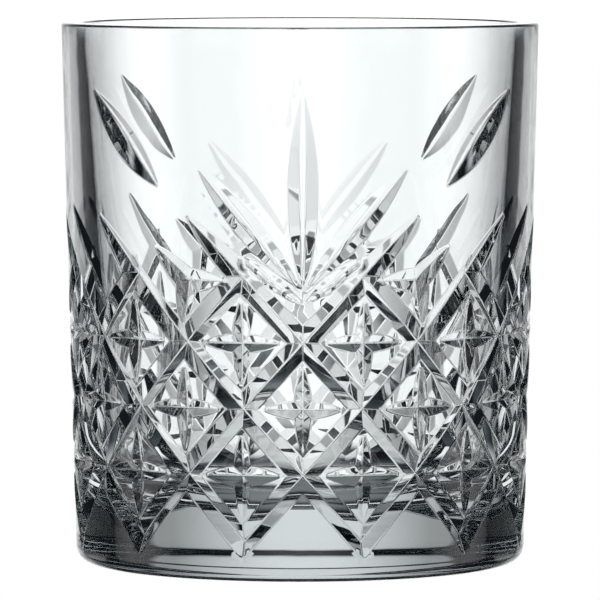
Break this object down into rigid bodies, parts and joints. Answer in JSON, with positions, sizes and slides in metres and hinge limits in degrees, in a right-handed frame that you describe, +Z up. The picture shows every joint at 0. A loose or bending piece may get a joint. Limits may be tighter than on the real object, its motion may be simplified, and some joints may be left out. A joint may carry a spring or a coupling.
{
  "type": "whiskey_tumbler",
  "caption": "Heavy pressed-glass whiskey tumbler with a diamond lattice, cut stars and a fan of pointed leaves below a plain rim",
  "frame": {"origin": "centre of the foot, on the plane the glass stands on", "axes": "+Z is up the glass's axis; the fan of leaves faces -Y and is repeated on +Y"},
  "size_m": [0.085, 0.085, 0.096],
  "materials": {
    "clear_glass": "polished"
  },
  "bodies": {
    "root": {"tumbler_glass": "clear_glass"}
  },
  "joints": []
}
